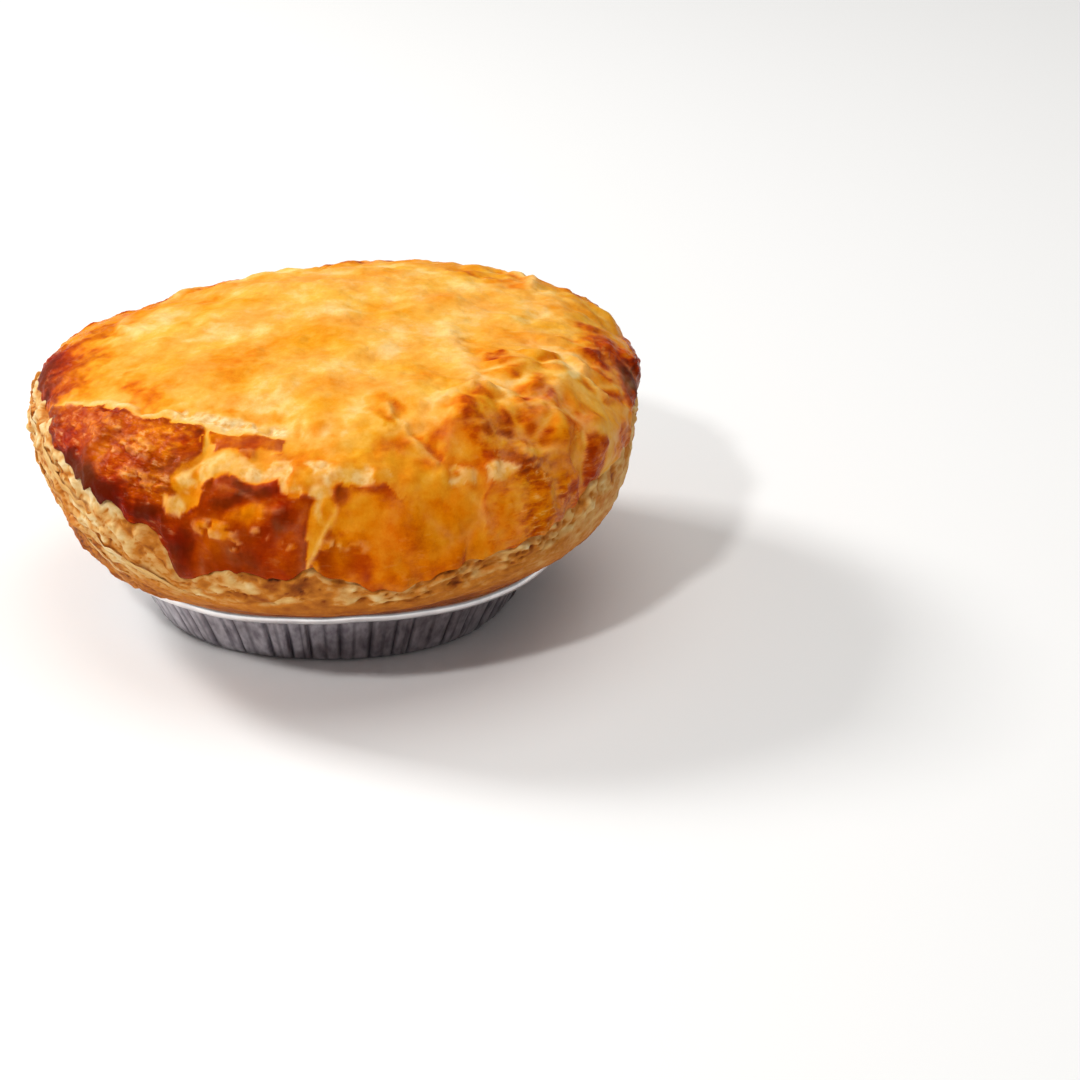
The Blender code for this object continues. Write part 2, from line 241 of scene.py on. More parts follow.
# (degrees, mm, spread in degrees) where the tin's rim is bent up, where the side is flatter, and
# where the lip hangs down and hides the tin's rim
RIM_LIFTS = ((12, 0.9, 34), (120, 0.3, 40))
SIDE_INSETS = ((-61, 2.6, 21),)
DROOPS = ((-48, 1.3, 24), (100, 0.8, 20), (-140, 0.9, 24))
TIN_COLUMNS = 768                     # points round the tin
BEAD = 1.0                            # mm, radius of the rolled bead as it is seen


# ---- numbers and noise

def smooth(low, high, value):
    """0 below low, 1 above high, and 3t^2 - 2t^3 between them."""
    t = np.clip((value - low) / (high - low), 0.0, 1.0)
    return t * t * (3.0 - 2.0 * t)


def bell(value, width):
    """exp(-(value / width)^2)."""
    return np.exp(-((value / width) ** 2))


def cell_number(cells, seed):
    """A fixed number from 0 to 1 for each whole-number cell (x, y, z), by an integer hash."""
    x, y, z = (cells[..., axis].astype(np.int64).astype(np.uint32) for axis in range(3))
    mixed = x * np.uint32(0x8DA6B343) ^ y * np.uint32(0xD8163841) ^ z * np.uint32(0xCB1AB31F)
    mixed = mixed + np.uint32((seed * 0x9E3779B1) & 0xFFFFFFFF)
    mixed = (mixed ^ (mixed >> np.uint32(15))) * np.uint32(0x2C1B3C6D)
    mixed = (mixed ^ (mixed >> np.uint32(12))) * np.uint32(0x297A2D39)
    return (mixed ^ (mixed >> np.uint32(15))) / 4294967295.0


def cloud(points, size, seed):
    """Noise from -1 to 1: numbers on a lattice that many mm wide, joined by smooth cubics."""
    scaled = points / size
    cell = np.floor(scaled)
    share = smooth(0.0, 1.0, scaled - cell)
    total = 0.0
    for corner in np.ndindex(2, 2, 2):
        weight = np.prod(np.where(corner, share, 1.0 - share), axis=-1)
        total = total + weight * cell_number(cell + corner, seed)
    return 2.0 * total - 1.0


def clouds(points, size, seed, octaves=3):
    """Sum of noises, each half as wide and half as high as the one before."""
    return sum(cloud(points, size / 2**k, seed + k) / 2**k for k in range(octaves))


def scattered(points, size, seed):
    """For each of 27 cells round every point: the distance to its middle, and its number."""
    scaled = points / size
    cell = np.floor(scaled)
    for step in np.ndindex(3, 3, 3):
        near = cell + step - 1.0
        middle = near + np.stack([cell_number(near, seed + k) for k in range(3)], axis=-1)
        yield np.linalg.norm(scaled - middle, axis=-1), cell_number(near, seed + 3)


def domes(points, size, seed, fill=0.62):
    """Rounded blisters: 1 - (d / r)^2 round scattered middles, each with its own radius r."""
    height = np.zeros(points.shape[:-1])
    for distance, number in scattered(points, size, seed):
        radius = fill * (0.45 + 0.75 * number)
        height = np.maximum(height, 1.0 - (distance / radius) ** 2)
    return height


def cells(points, size, seed):
    """Angular cells round scattered middles: a number from -1 to 1 for each, and mm inside it.

    The second is half the difference of the distances to the two nearest middles."""
    nearest = np.full(points.shape[:-1], 1e9)
    second = nearest
    own = np.zeros(points.shape[:-1])
    for distance, number in scattered(points, size, seed):
        own = np.where(distance < nearest, number, own)
        second = np.minimum(second, np.maximum(nearest, distance))
        nearest = np.minimum(nearest, distance)
    return 2.0 * own - 1.0, 0.5 * size * (second - nearest)


def smooth_through(points, pieces):
    """Catmull-Rom curve through the points, with this many pieces between neighbours."""
    ends = np.array([points[0], *points, points[-1]], dtype=float)
    t = np.linspace(0.0, 1.0, pieces, endpoint=False)[:, None]
    curve = []
    for before, start, end, after in zip(ends, ends[1:], ends[2:], ends[3:]):
        square = 2 * before - 5 * start + 4 * end - after
        cube = 3 * start - before - 3 * end + after
        curve.append(start + 0.5 * ((end - before) * t + square * t**2 + cube * t**3))
    return np.vstack([*curve, ends[-1:]])


# ---- the uneven form and its map

profile = smooth_through(LID_TOP, 24)
profile = np.vstack([profile, smooth_through(LIP, 24)[1:]]) * (LID_RADIUS, LID_RISE)
profile_reach = np.append(0.0, np.cumsum(np.hypot(*np.diff(profile, axis=0).T)))
FOOT_REACH = profile_reach[-1]        # mm of surface from the lid's middle to the tin's rim


def wrap(degrees):
    """The same direction between -180 and 180 degrees."""
    return (degrees + 180.0) % 360.0 - 180.0


def wave_sum(angle, waves):
    """Sum of size * cos(count * angle + phase) over the waves."""
    return sum(size * np.cos(count * angle + phase) for count, phase, size in waves)


def round_sum(angle, entries):
    """Sum of the entries' sizes, each fading as a bell of the degrees to its own place."""
    total = 0.0
    for degrees, size, spread in entries:
        total = total + size * bell(wrap(np.degrees(angle) - degrees), spread)
    return total


def form(x, y):
    """Where map points lie on the uneven pie: the profile turned round, then the solid's moves.

    The moves are the radius stretched by waves and full shoulders, the edge lifted or sagging,
    the lean, and lumps that swell away from the rim's middle."""
    angle = np.arctan2(x, -y)
    reach = np.hypot(x, y)
    radius = np.interp(reach, profile_reach, profile[:, 0])
    rise = np.interp(reach, profile_reach, profile[:, 1]) / LID_RISE
    out = radius / LID_RADIUS
    even_x, even_y = radius * np.sin(angle), -radius * np.cos(angle)
    stretch = 1.0 + np.minimum(1.0, rise / 0.25) * wave_sum(angle, LID_WAVES)
    stretch = stretch + round_sum(angle, SHOULDERS) * bell(rise - 0.80, 0.2)
    z = rise * LID_RISE
    z = z + round_sum(angle, EDGE_LIFTS) * bell(rise - 0.50, 0.32) * np.minimum(1.0, out) ** 4
    z = z + LEAN * np.sin(angle) * np.minimum(out, 0.8) * np.minimum(1.0, rise)
    moved = np.stack([even_x * stretch, even_y * stretch, z], axis=-1)
    lump = 0.0
    for degrees, share, height, spread in LUMPS:
        lump_x, lump_y = on_map(degrees, share * LID_RADIUS)
        lump = lump + height * bell(np.hypot(even_x - lump_x, even_y - lump_y), spread * 2**0.5)
    outward = moved / np.linalg.norm(moved, axis=-1, keepdims=True)
    moved = moved + outward * (lump * np.minimum(1.0, rise / 0.5))[..., None]
    return moved + (0.0, 0.0, RIM_Z)


def form_normal(x, y):
    """Outward direction of the form: the cross product of its slopes along the two map axes."""
    step = 0.05
    slope_x = form(x + step, y) - form(x - step, y)
    slope_y = form(x, y + step) - form(x, y - step)
    normal = np.cross(slope_x, slope_y)
    return normal / np.linalg.norm(normal, axis=-1, keepdims=True)


def on_map(degrees, reach):
    """Map point at those degrees round from the front and mm from the lid's middle."""
    angle = np.radians(degrees)
    return reach * np.sin(angle), -reach * np.cos(angle)


def turned(radius, angle, z):
    """Points at a radius and height, at an angle round from the front."""
    places = np.broadcast_arrays(radius * np.sin(angle), -radius * np.cos(angle), z)
    return np.stack(places, axis=-1)


Spots = namedtuple("Spots", "x y degrees reach solid normal")


def spots(degrees, reach):
    """Points of the map, with what the fields ask of them: their place and normal on the pie."""
    x, y = on_map(degrees, reach)
    return Spots(x, y, degrees, reach, form(x, y), form_normal(x, y))


def raised(at, height):
    """The points of the form, moved outwards by a height in mm."""
    return at.solid + at.normal * np.broadcast_to(height, at.reach.shape)[..., None]


def oval(at, degrees, reach, length, width, turn):
    """Share of the way from a turned oval's middle to its edge: sqrt(u^2 + v^2)."""
    along = np.radians(wrap(at.degrees - degrees)) * reach
    out = at.reach - reach
    cos, sin = math.cos(math.radians(turn)), math.sin(math.radians(turn))
    return np.hypot((along * cos + out * sin) / length, (out * cos - along * sin) / width)


def within(at, outline):
    """How many mm a point lies inside a closed outline on the map, negative outside it.

    It is the distance to the nearest side, and a point is inside where a line from it crosses
    the outline an odd number of times."""
    corners = np.array([on_map(*corner) for corner in outline])
    nearest = np.full(at.reach.shape, 1e9)
    inside = np.zeros(at.reach.shape, dtype=bool)
    for start, end in zip(corners, np.roll(corners, -1, axis=0)):
        step = end - start
        t = ((at.x - start[0]) * step[0] + (at.y - start[1]) * step[1]) / (step @ step)
        t = np.clip(t, 0.0, 1.0)
        nearest = np.minimum(nearest, np.hypot(at.x - start[0] - t * step[0],
                                               at.y - start[1] - t * step[1]))
        straddles = (start[1] > at.y) != (end[1] > at.y)
        slope = step[0] / (step[1] if step[1] else 1e-9)
        inside ^= straddles & (at.x < start[0] + (at.y - start[1]) * slope)
    return np.where(inside, nearest, -nearest)


def to_line(at, line):
    """Distance in mm to a smooth line on the map, negative left of it, and share of its way."""
    path = smooth_through([on_map(*point) for point in line], 6)
    nearest = np.full(at.reach.shape, 1e9)
    share = np.zeros(at.reach.shape)
    for index, (start, end) in enumerate(zip(path, path[1:])):
        step = end - start
        x, y = at.x - start[0], at.y - start[1]
        t = np.clip((x * step[0] + y * step[1]) / (step @ step), 0.0, 1.0)
        distance = np.hypot(x - t * step[0], y - t * step[1])
        closer = distance < abs(nearest)
        side = np.sign(y * step[0] - x * step[1])
        share = np.where(closer, (index + t) / (len(path) - 1), share)
        nearest = np.where(closer, distance * side, nearest)
    return nearest, share


def cap_edge(degrees):
    """Reach of the browned cap: the listed outline, less |sin| scallops, plus small noise."""
    reach = np.interp(wrap(degrees), *zip(*CAP_EDGE))
    ring = turned(50.0, np.radians(degrees), 0.0)
    phase = math.pi * SCALLOPS * np.radians(degrees) / math.tau + 1.2 * cloud(ring, 9.0, 13)
    scallop = abs(np.sin(phase)) * (0.6 + 0.4 * cloud(ring, 12.0, 14))
    scallop = scallop * (1.0 - 0.6 * bell(wrap(degrees) - 5.0, 30.0))
    torn = 0.20 + 0.20 * bell(wrap(degrees) + 8.0, 26.0)
    return reach + 0.5 - 1.1 * scallop + 0.5 * cloud(ring, 5.0, 11) + torn * cloud(ring, 1.9, 12)


def drum(at, stretch=1.0):
    """Map points rolled on an upright drum, so that noise along the rim has no seam."""
    return turned(DRUM_RADIUS, np.radians(at.degrees), stretch * at.reach)


# ---- what the surfaces carry

def crust(at):
    """What the browned cap carries: height in mm, browning and painted light, gloss, paleness and
    ripples.

    Height starts as soft swellings, and browning grows towards the rim. Each step then changes
    them: folds, bulges, glossy skins, patches, wrinkles, torn places, the glaze and its bumps."""
    along = drum(at)
    shift = [0.65 * clouds(along, 4.0, seed, 2) for seed in (36, 38)]
    height = 0.50 * clouds(at.solid, 6.5, 21) + 0.26 * domes(at.solid, 4.2, 24)
    cap = SimpleNamespace(
        at=at,
        bent=at._replace(x=at.x + shift[0], y=at.y + shift[1]),
        along=along,
        squat=drum(at, 1.8),
        jagged=0.30 * cells(along, 2.2, 40)[0] + 0.12 * cloud(along, 1.1, 41),
        height=height + 0.09 * clouds(at.solid, 1.9, 27, 2),
        bake=0.155 + 0.14 * clouds(at.solid, 7.0, 31) + 0.17 * smooth(32.0, 44.0, at.reach),
        gloss=0.25 + 0.35 * smooth(34.0, 44.0, at.reach),
        pale=np.zeros(at.reach.shape),
    )
    for step in (fold, bulge, lay_skins, brown, wrinkle, tear, glaze, add_bumps):
        step(cap)
    return cap


def fold(cap):
    """Folds the lid into angular lumps: browned tops, raised with their depth, in pale creases."""
    at = cap.at
    folded = round_sum(np.radians(at.degrees), FOLDED) * smooth(24.0, 33.0, at.reach)
    moves = np.stack([clouds(cap.along, 5.0, seed, 2) for seed in (33, 35, 37)], axis=-1)
    tone, depth = cells(cap.along + 0.8 * moves, 6.4, 29)
    crease = bell(depth, 0.55)
    patchy = smooth(-0.6, 0.6, cloud(cap.along, 4.0, 43))
    cap.height += folded * (1.05 * smooth(0.0, 2.8, depth) - 0.40 + 0.10 * crease)
    cap.bake += folded * (0.13 * tone * smooth(0.2, 0.9, depth) + 0.06 - 0.14 * crease)
    cap.pale = np.maximum(cap.pale, 0.17 * folded * crease * patchy)


def bulge(cap):
    """Adds each bulge or valley, a bell of the distance to its middle."""
    for degrees, reach, height, spread in BULGES:
        x, y = on_map(degrees, reach)
        cap.height += height * bell(np.hypot(cap.bent.x - x, cap.bent.y - y), spread)


def lay_skins(cap):
    """Lays the thin glossy skins, each of its own browning, with darker ragged edges."""
    ragged = smooth(-0.4, 0.5, cloud(cap.along, 5.0, 44))
    for browning, outline in SKINS:
        inner = within(cap.bent, outline) + cap.jagged
        inside = smooth(-0.20, 0.40, inner)
        own = browning + 0.10 * clouds(cap.along, 3.6, 45)
        own += 0.12 * bell(inner - 0.35, 0.35) * ragged
        cap.height += SKIN_THICKNESS * smooth(-0.6, 0.6, inner)
        cap.bake += (own - cap.bake) * inside
        cap.gloss += (1.0 - cap.gloss) * inside


def brown(cap):
    """Adds the browning of each soft patch, fading over a ragged oval edge."""
    for degrees, reach, length, width, turn, browning in PATCHES:
        share = oval(cap.bent, degrees, reach, length, width, turn)
        share += 0.35 * clouds(cap.along, 2.4, 49)
        cap.bake += browning * (1.0 - smooth(0.35, 1.15, share))


def wrinkle(cap):
    """Raises pale wrinkles, bells of the distance to their lines, that come and go along them.

    A broad one also has a sunken valley at its right with painted shade; the pale crests are partly
    painted highlight."""
    for line, height, width, paleness in WRINKLES:
        distance, share = to_line(cap.bent, line)
        crest = bell(distance, width) * np.sin(np.pi * share) ** 0.4
        crest = crest * (0.85 + 0.35 * cloud(cap.along, 4.0, 53))
        crest = crest * (0.55 + 0.55 * smooth(-0.4, 0.3, cloud(cap.along, 1.9, 55)))
        valley = bell(distance - 1.5 * width, width) * (paleness > 0.15)
        valley = valley * (0.3 < share) * (share < 0.95)
        cap.height = cap.height + height * crest - 0.4 * height * valley
        # painted shade: the valley beside the wrinkle is darkened
        cap.bake += 0.14 * valley * smooth(-0.5, 0.3, cloud(cap.along, 3.0, 54))
        # the crest is paled, partly its own colour and partly a painted highlight
        cap.bake += (0.04 - cap.bake) * min(1.0, 2.2 * paleness) * crest
        cap.pale = np.maximum(cap.pale, paleness * crest)


def tear(cap):
    """Sinks and roughens the pale, dull places where the lid tore between its skins."""
    along = cap.along
    patchy = smooth(-0.35, 0.10, clouds(along, 3.4, 56))
    rough = 0.30 * clouds(along, 2.6, 57) - 0.15 + 0.25 * domes(along, 2.9, 63)
    for paleness, outline in TORN:
        inside = smooth(-0.2, 0.6, within(cap.bent, outline) + cap.jagged) * patchy
        cap.height += inside * rough
        cap.pale = np.maximum(cap.pale, inside * (paleness + 0.32 * clouds(along, 3.0, 59)))
        cap.bake += (0.15 - cap.bake) * 0.8 * inside
        cap.gloss *= 1.0 - 0.7 * inside


def glaze(cap):
    """Blisters and ripples the browned glaze, and thins the cap at its darker edge.

    The glaze is plain on the skins at the front, and burnt places are dull."""
    at = cap.at
    to_edge = cap_edge(at.degrees) - at.reach
    plain = smooth(-33.0, -24.0, at.degrees) * smooth(36.0, 28.0, at.degrees)
    fine = clouds(cap.squat, 1.4, 42, 2) * (1.0 - 0.75 * plain)
    cap.pale = np.clip(cap.pale, 0.0, 1.0)
    cap.gloss *= 1.0 - 0.75 * smooth(0.70, 0.90, cap.bake)
    browner = 0.05 * smooth(4.0, 0.6, to_edge)
    cap.bake = cap.bake + browner + 0.07 * fine * smooth(0.15, 0.45, cap.bake)
    cap.height -= 0.35 * smooth(1.6, 0.0, to_edge)
    blisters = cap.gloss * smooth(0.30, 0.50, cap.bake)
    blisters = blisters * (1.0 - 0.7 * smooth(0.72, 0.92, cap.bake)) * (1.0 - cap.pale)
    patchy = smooth(-0.4, 0.4, cloud(cap.along, 6.0, 60))
    cap.ripple = np.clip(blisters * (0.35 + 0.75 * patchy) * (1.0 - 0.8 * plain), 0.0, 1.0)
    wander = clouds(cap.along, 3.0, 66, 2)
    waves = np.sin(2.0 * math.pi * (at.reach + wander) / RIPPLE_WIDTH)
    grain = clouds(cap.squat, 1.1, 64, 2)
    cap.height += (0.03 + 0.07 * patchy) * blisters * domes(cap.squat, 1.5, 61)
    cap.height += (0.05 + 0.07 * blisters) * (1.0 - 0.8 * plain) * grain
    cap.height += 0.09 * cap.ripple * waves


def add_bumps(cap):
    """Adds the small pale bumps: rounded domes, where one of their ovals lies; their paleness is a
    painted highlight.
    """
    bumpy = np.zeros(cap.at.reach.shape)
    for degrees, reach, length, width, strength in BUMPS:
        share = oval(cap.bent, degrees, reach, length, width, 0)
        bumpy = np.maximum(bumpy, strength * (1.0 - smooth(0.6, 1.1, share)))
    bumps = bumpy * smooth(0.10, 0.40, domes(drum(cap.at, 2.2), 2.4, 67, 0.75))
    # painted highlight: pale flecks on the bumps
    paler = 0.28 * bumps * smooth(-0.5, 0.4, clouds(cap.squat, 1.4, 69))
    cap.height += 0.50 * bumps
    # painted highlight: the bumps are lightened towards golden
    cap.bake += (0.30 - cap.bake) * 0.7 * bumps
    cap.pale = np.maximum(cap.pale, paler)


def rim_lift(degrees):
    """How far in mm the tin's rim is bent up, and the pastry's foot with it, round the tin."""
    return round_sum(np.radians(degrees), RIM_LIFTS)


def leaves(at, share):
    """Height in mm, and browning with painted shade in the grooves, of the flaky side at a share of
    the way from cap to foot.

    Each leaf is a rounded fold, 1 - (2f - 1)^2 for its own share f, of its own fullness along the
    rim. Leaves wander up and down, and their faces are crinkled, puckered and pierced by small
    holes. Just below the cap they are torn to crumbs, and in places they baked to a smooth roll."""
    ring = drum(at, 0.0)
    high = drum(at, 0.7)
    angle = np.radians(at.degrees)
    smoothed = np.clip(round_sum(angle, SIDE_SMOOTH), 0.0, 1.0)
    wander = 1.20 * cloud(high, 15.0, 71) + 0.70 * cloud(high, 5.0, 72)
    wander = wander + 0.30 * cloud(high, 2.4, 73)
    place = LEAVES * share + wander
    leaf = np.floor(place)
    level = ring + turned(0.0, leaf, 40.0 * leaf)
    fullness = 0.5 + 0.5 * cloud(level, 8.0, 74) + 0.2 * cloud(level, 2.6, 75)
    rounded = 1.0 - (2.0 * (place - leaf) - 1.0) ** 2
    crinkle = clouds(drum(at, 1.6), 2.8, 76)
    valleys = abs(clouds(drum(at, 2.2), 4.2, 77, 2)) + smoothed
    pucker = smooth(0.0, 0.30 + 0.6 * smoothed, valleys)
    torn = smooth(0.36, 0.24, share + 0.08 * clouds(ring, 4.0, 82, 2))
    crumb = clouds(drum(at, 1.4), 1.7, 84, 2)
    rough = 1.0 - smoothed * (1.0 - torn)
    pits = smooth(0.50, 0.85, domes(drum(at, 1.5), 1.6, 79, 0.45))
    height = 0.95 * fullness * rounded**0.7 * (0.15 + 0.85 * rough * (1.0 - smoothed))
    height = height + (0.10 + 0.22 * rough) * crinkle + rough * (0.18 * pucker - 0.25 * pits)
    height = height + 0.50 * torn * crumb
    height = height + smoothed * (1.1 * bell(share - 0.62, 0.30) - 0.1 * torn)
    # painted shade: the grooves between the leaves are darkened
    groove_shade = (1.0 - smooth(0.0, 0.30, rounded)) * smooth(-0.3, 0.4, cloud(level, 4.0, 80)) * rough
    groove_shade = groove_shade * (1.0 - smoothed)
    bake = 0.24 + 0.22 * cloud(level, 6.0, 81) * rough + 0.45 * groove_shade
    bake = bake + 0.30 * (1.0 - pucker) * rough
    bake = bake + (0.06 + 0.06 * rough) * crinkle - 0.24 * crumb * torn
    bake = bake + 0.20 * pits * rough + round_sum(angle, SIDE_BROWNING) * (1.0 - 0.30 * torn)
    return height, bake


def flatter(degrees, leafy):
    """How far in mm the side is set back there, as a bell about two thirds of the way down it."""
    return round_sum(np.radians(degrees), SIDE_INSETS) * bell(leafy - 0.65, 0.35)


# ---- meshes

def band(upper, lower):
    """Quads between rings of point numbers, each ring running round to its own start."""
    corners = [upper, np.roll(upper, -1, axis=-1), np.roll(lower, -1, axis=-1), lower]
    return np.stack(corners, axis=-1)


def fan(ring, pole):
    """Triangles from each side of a ring to its pole."""
    return np.stack([ring, np.roll(ring, -1), np.full_like(ring, pole)], axis=-1)


def closed_shell(numbers):
    """Bands between rings of point numbers, and a fan from each end ring to its pole."""
    first_pole, last_pole = numbers.size, numbers.size + 1
    return [band(numbers[1:], numbers[:-1]), fan(numbers[0], first_pole),
            fan(numbers[-1][::-1], last_pole)]


def dress(name, points, faces, material, node, slot, **values):
    mesh = bpy.data.meshes.new(name)
    faces = [face for group in faces for face in group.reshape(-1, group.shape[-1]).tolist()]
    mesh.from_pydata((points * MM).tolist(), [], faces)
    for key, numbers in values.items():
        field = mesh.attributes.new(key, "FLOAT", "POINT")
        field.data.foreach_set("value", np.ascontiguousarray(numbers, dtype=np.float32))
    mesh.shade_smooth()
    mesh.materials.append(material)
    piece = bpy.data.objects.new(name, mesh)
    bpy.context.scene.collection.objects.link(piece)
    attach(piece, "root")
    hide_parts(node)
    return piece


def crust_cap(material):
    """The browned top of the lid, with a rolled edge and a hidden underside.

    A square grid is bent to a disc, ring by ring, closer together outwards. Its rings are pulled
    to the evened outline with the cube of their share, and to the ragged one with its 14th power.
    The edge then turns under, a few rings lie beneath, and they close in a pole."""
    side = np.linspace(-1.0, 1.0, CAP_GRID)
    across, up = np.meshgrid(side, side, indexing="ij")
    share = np.maximum(abs(across), abs(up))
    flat = abs(across) > abs(up)
    long = np.where(flat, across, up)
    short = np.where(flat, up, across)
    slant = short / np.where(long == 0.0, 1.0, long) * math.pi / 4
    turn = np.where(flat, slant, math.pi / 2 - slant) + np.where(long < 0.0, math.pi, 0.0)
    degrees = (np.degrees(turn).ravel() + 270.0) % 360.0 - 180.0
    share = share.ravel()
    edge = cap_edge(degrees)
    even = sum(cap_edge(degrees + step) for step in range(-12, 13, 3)) / 9.0
    reach = share * (1.15 - 0.15 * share**2) * CAP_REACH
    reach = reach + (even - CAP_REACH) * share**3 + (edge - even) * share**14
    at = spots(degrees, reach)
    cap = crust(at)
    points = [raised(at, cap.height)]

    numbers = np.arange(CAP_GRID**2).reshape(CAP_GRID, CAP_GRID)
    corners = [numbers[:-1, :-1], numbers[1:, :-1], numbers[1:, 1:], numbers[:-1, 1:]]
    walk = [numbers[:-1, 0], numbers[-1, :-1], numbers[:0:-1, -1], numbers[0, :0:-1]]
    rim = np.concatenate(walk)
    faces = [np.stack(corners, axis=-1)]
    rings = []
    for step, depth in SKIN_STEPS:
        rings.append((reach[rim] + step, cap.height[rim] - depth))
    for part in SKIN_RINGS:
        rings.append((reach[rim] * part, np.full(rim.shape, -SKIN_DEPTH)))
    last = rim
    for ring_reach, ring_height in rings:
        ring = np.arange(len(rim)) + CAP_GRID**2 + len(rim) * (len(points) - 1)
        points.append(raised(spots(degrees[rim], ring_reach), ring_height))
        faces.append(band(ring, last))
        last = ring
    points.append(form(np.zeros(1), np.zeros(1)) - (0.0, 0.0, SKIN_DEPTH))
    faces.append(fan(last[::-1], last[-1] + 1))
    points = np.vstack(points)

    def carried(values, under):
        """The cap's own values, its edge's on the turned rings, and one number beneath."""
        hidden = np.full(len(points) - CAP_GRID**2 - 3 * len(rim), under)
        return np.concatenate([values, np.tile(values[rim], 3), hidden])

    return dress("crust_cap", points, faces, material, "pie", "baked_puff_pastry",
                 bake=carried(cap.bake, 0.3), gloss=carried(cap.gloss, 0.0),
                 pale=carried(cap.pale, 0.8), ripple=carried(cap.ripple, 0.0))


def flaky_side(material):
    """The leaves of pastry from under the cap to the tin's rim, and the body down in the tin.

    Rings run from a pole under the cap, out and down the side, in over the rim, and down inside
    the tin to a pole at its bottom."""
    degrees = np.linspace(-180.0, 180.0, SIDE_COLUMNS, endpoint=False)
    edge = cap_edge(degrees)
    rows = []
    for part in SIDE_TOP_RINGS:
        at = spots(degrees, (edge - SIDE_TUCK) * part)
        rows.append((raised(at, -SIDE_DEPTH), np.full(SIDE_COLUMNS, 0.2)))
    for share in np.linspace(0.0, 1.0, SIDE_ROWS):
        start = edge - SIDE_TUCK
        reach = start + (FOOT_REACH - start) * share
        at = spots(degrees, reach)
        leafy = np.clip((reach - edge) / (LIP_FOOT - edge), -0.3, 1.2)
        height, bake = leaves(at, leafy)
        fade = 1.0 - smooth(LIP_FOOT - 2.0, FOOT_REACH - 1.0, reach)
        tuck = smooth(edge - SIDE_TUCK, edge + 1.0, reach)
        inset = -SIDE_DEPTH * (1.0 - tuck) - LEAF_STEP * tuck
        inset = inset - flatter(degrees, leafy)
        bake = bake + 0.26 * smooth(0.45, 0.95, leafy)
        place = raised(at, (inset + height * tuck) * fade)
        place[..., 2] += rim_lift(degrees) * smooth(58.0, LIP_FOOT, reach)
        place[..., 2] -= round_sum(np.radians(degrees), DROOPS) * bell(leafy - 0.9, 0.25)
        rows.append((place, bake))
    angle = np.radians(degrees)
    round_waves = 1.0 + wave_sum(angle, TIN_WAVES)
    for radius, z, lifted in body_rings():
        place = turned(radius * round_waves, angle, z + lifted * rim_lift(degrees))
        rows.append((place, np.full(SIDE_COLUMNS, 0.4)))
    points = np.array([place for place, _ in rows])
    bake = np.array([browning for _, browning in rows])
    numbers = np.arange(points[..., 0].size).reshape(points.shape[:2])
    top = form(np.zeros(1), np.zeros(1)) - (0.0, 0.0, SIDE_DEPTH)
    bottom = np.array([[0.0, 0.0, FOIL + GAP]])
    points = np.vstack([points.reshape(-1, 3), top, bottom])
    return dress("flaky_side", points, closed_shell(numbers), material, "pie", "baked_puff_pastry",
                 bake=np.append(bake.ravel(), (0.3, 0.3)))


def body_rings():
    """Radius, height and share of the rim's lift of the rings inside the tin."""
    inset = FOIL + PLEAT_DEPTH + GAP
    return (
        (FLANGE_RADIUS - 2 * BEAD_RADIUS, RIM_Z + GAP, 1.0),
        (MOUTH_RADIUS - FOIL, RIM_Z + GAP, 0.6),
        (MOUTH_RADIUS - inset, RIM_Z - GAP, 0.0),
        (BASE_RADIUS - inset + GAP, BASE_CORNER + GAP, 0.0),
        (BASE_RADIUS - BASE_CORNER - GAP, FOIL + GAP, 0.0),
        (0.5 * BASE_RADIUS, FOIL + GAP, 0.0),
    )


def loose_leaves(material):
    """Thin curled strips of pastry that stand off the side, each a closed flat tube.

    Along a strip the half width is w * sin(pi t)^0.6, and it stands off more at its middle."""
    points, faces, bake = [], [], []
    count = 0
    for index in range(LOOSE_LEAVES):
        degrees, share, length, width, lift, tilt, tone = draw_leaf(index)
        if round_sum(math.radians(degrees), SIDE_SMOOTH) > 0.45:
            continue
        t = np.linspace(0.02, 0.98, LEAF_GRID[0])
        around = degrees + np.degrees(length / DRUM_RADIUS) * (t - 0.5)
        edge = cap_edge(around)
        middle = edge + (LIP_FOOT - edge) * share + tilt * (t - 0.5) * length
        ring = np.stack([around * 0.9, np.full_like(t, 9.0 * index), np.zeros_like(t)], axis=-1)
        middle = middle + 0.5 * cloud(ring, 4.0, 91)
        half = width * np.sin(np.pi * t) ** 0.6
        turn = np.linspace(0.0, 2 * math.pi, 2 * LEAF_GRID[1], endpoint=False)
        reach = middle[:, None] + half[:, None] * np.cos(turn)
        at = spots(np.repeat(around[:, None], len(turn), axis=1), reach)
        stand = -LEAF_STEP + 0.35 + lift * np.sin(np.pi * t)[:, None] * (1.0 - 0.5 * np.cos(turn))
        stand = stand - flatter(around, share)[:, None]
        crimp = 0.25 * cloud(drum(at), 1.8, 93)
        thick = LEAF_THICKNESS * np.sin(turn) * np.sin(np.pi * t)[:, None] ** 0.3
        points.append(raised(at, stand + crimp + thick).reshape(-1, 3))
        numbers = np.arange(t.size * turn.size).reshape(t.size, turn.size) + count
        faces += [band(numbers[1:], numbers[:-1]), numbers[0][None], numbers[-1][::-1][None]]
        bake.append((tone + 0.25 * abs(2.0 * t - 1.0)[:, None] ** 3 + 0.0 * turn).ravel())
        count += numbers.size
    return dress("loose_pastry_leaves", np.vstack(points), faces, material, "pie",
                 "baked_puff_pastry", bake=np.concatenate(bake))


def draw_leaf(index):
    """Place, size, lift, tilt and tone of one loose leaf, from fixed random numbers."""
    draw = np.random.default_rng(700 + index)
    degrees = 360.0 * (index + draw.uniform(0.0, 0.9)) / LOOSE_LEAVES - 180.0
    share = draw.uniform(0.08, 0.85)
    length = draw.uniform(*LEAF_LENGTHS)
    width = draw.uniform(0.45, 0.9)
    lift = draw.uniform(0.2, 0.7)
    tilt = draw.uniform(-0.05, 0.05)
    return degrees, share, length, width, lift, tilt, draw.uniform(0.05, 0.4)


